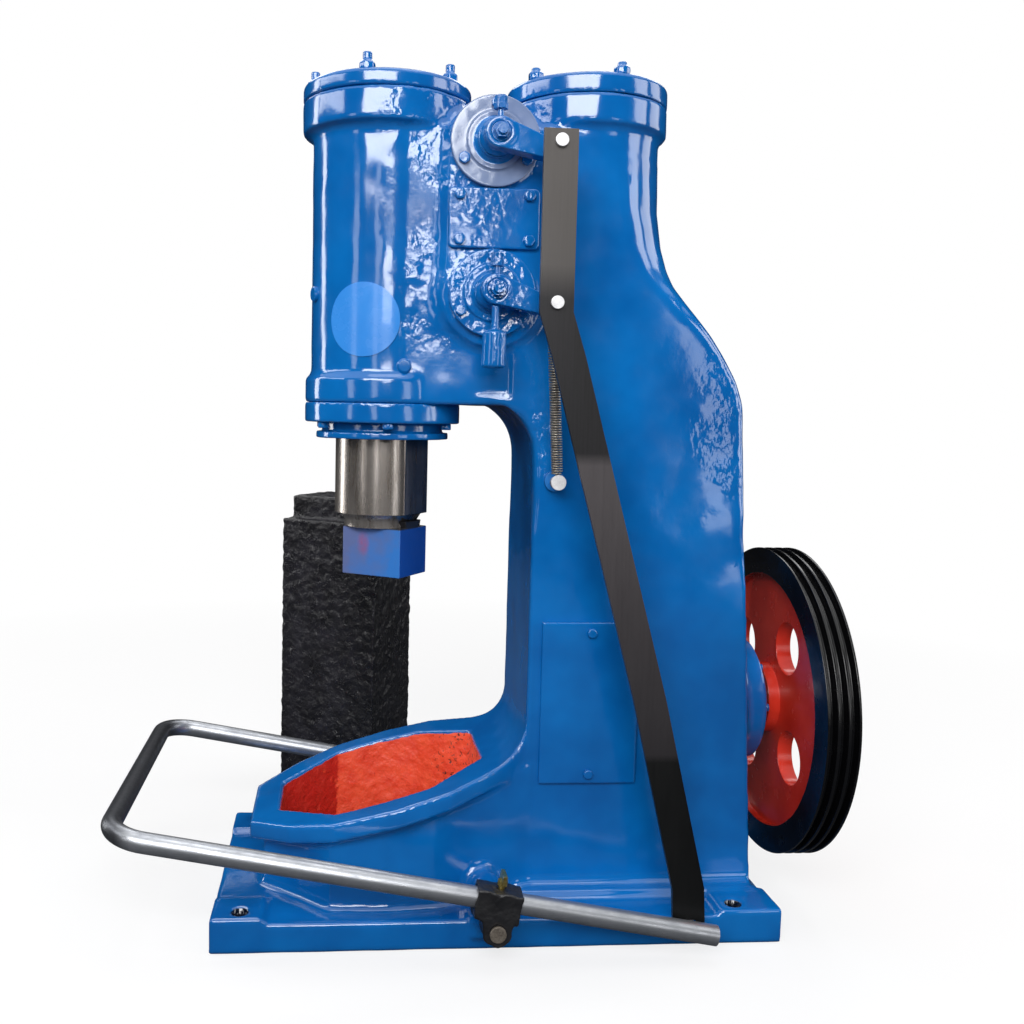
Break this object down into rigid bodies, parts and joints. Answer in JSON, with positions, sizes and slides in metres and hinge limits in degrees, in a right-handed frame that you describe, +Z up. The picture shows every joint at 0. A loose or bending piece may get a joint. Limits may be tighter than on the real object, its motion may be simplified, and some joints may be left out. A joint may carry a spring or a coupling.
{
  "type": "air forging hammer with separate anvil",
  "caption": "Belt-driven self-contained air forging hammer: C-shaped cast frame, twin cylinders, ram with die, treadle with valve linkage, grooved pulley, separate anvil block.",
  "frame": {"origin": "centre of the foundation bolt pattern, on the underside of the base plate", "axes": "+Z up, +X from the ram towards the belt pulley, -Y the side with the valve gear and link bar"},
  "size_m": [1.211, 0.9134, 1.43],
  "materials": {
    "blue_enamel": "glossy enamel over rough casting",
    "pale_enamel": "glossy pale enamel",
    "ram_steel": "ground",
    "bright_steel": "machined",
    "bar_steel": "dark hot rolled",
    "tube_steel": "bare tube",
    "spring_steel": "oiled",
    "pulley_red": "gloss red and black",
    "clamp_black": "black",
    "zinc_yellow": "zinc plated",
    "anvil_black": "rough, black painted",
    "die_blue": "painted tool steel"
  },
  "bodies": {
    "frame_body": {"frame_casting": "blue_enamel", "front_cylinder_cover": "blue_enamel", "rear_cylinder_cover": "blue_enamel", "front_cover_bolts": "blue_enamel", "rear_cover_bolts": "blue_enamel", "ram_guide_flange": "blue_enamel", "gland_ring": "blue_enamel", "guide_flange_bolts": "blue_enamel", "upper_valve_cover": "pale_enamel", "lower_valve_cover": "blue_enamel", "middle_cover_plate": "blue_enamel", "valve_cover_bolts": "blue_enamel", "return_spring": "spring_steel", "spring_anchor_pin": "bright_steel", "access_cover": "blue_enamel", "access_cover_bolts": "blue_enamel", "bearing_cover": "blue_enamel", "bearing_cover_bolts": "blue_enamel", "near_pivot_pin": "bar_steel", "far_pivot_pin": "bar_steel", "anvil_block": "anvil_black"},
    "ram_body": {"ram": "ram_steel", "upper_die": "die_blue", "die_key": "bar_steel"},
    "shaft_body": {"crankshaft": "bright_steel", "pulley": "pulley_red", "pulley_retainer": "bright_steel"},
    "treadle_body": {"treadle_loop": "tube_steel", "near_treadle_clamp": "clamp_black", "far_treadle_clamp": "clamp_black", "near_wing_screw": "zinc_yellow", "far_wing_screw": "zinc_yellow", "treadle_link_pin": "bright_steel"},
    "upper_valve_body": {"upper_valve_shaft": "bright_steel", "upper_arm": "blue_enamel", "upper_arm_nut": "bright_steel", "upper_clamp_screw": "blue_enamel", "upper_link_pin": "bright_steel"},
    "lower_valve_body": {"lower_valve_shaft": "bright_steel", "lower_arm": "blue_enamel", "lower_arm_nut": "bright_steel", "lower_clamp_screw": "blue_enamel", "hand_lever": "blue_enamel", "lower_link_pin": "bright_steel"},
    "link_body": {"link_bar": "bar_steel"}
  },
  "joints": [
    {"name": "ram_slide", "type": "slide", "parent": "frame_body", "child": "ram_body", "axis": [0, 0, 1], "range_m": [-0.125, 0.12]},
    {"name": "pulley_spin", "type": "hinge", "parent": "frame_body", "child": "shaft_body", "pos_m": [0.2, 0, 0.35], "axis": [1, 0, 0], "continuous": true},
    {"name": "treadle_press", "type": "hinge", "parent": "frame_body", "child": "treadle_body", "pos_m": [-0.0055, 0, 0.066], "axis": [0, -1, 0], "range_deg": [0, 10], "stiffness_Nm_per_rad": 120, "springref_deg": -20.05},
    {"name": "upper_valve_turn", "type": "hinge", "parent": "frame_body", "child": "upper_valve_body", "pos_m": [-0.0155, -0.2, 1.29], "axis": [0, -1, 0], "range_deg": [0, 37]},
    {"name": "lower_valve_turn", "type": "hinge", "parent": "frame_body", "child": "lower_valve_body", "pos_m": [-0.0155, -0.2, 1.051], "axis": [0, -1, 0], "range_deg": [0, 37], "deforming": ["return_spring"]},
    {"name": "link_swing", "type": "hinge", "parent": "upper_valve_body", "child": "link_body", "pos_m": [0.06696, -0.258, 1.26557], "axis": [0, 1, 0], "range_deg": [0, 37]}
  ],
  "couplings": [
    {"joint": "upper_valve_turn", "follows": "treadle_press", "ratio": 3.7},
    {"joint": "lower_valve_turn", "follows": "treadle_press", "ratio": 3.7},
    {"joint": "link_swing", "follows": "treadle_press", "ratio": 3.7}
  ]
}
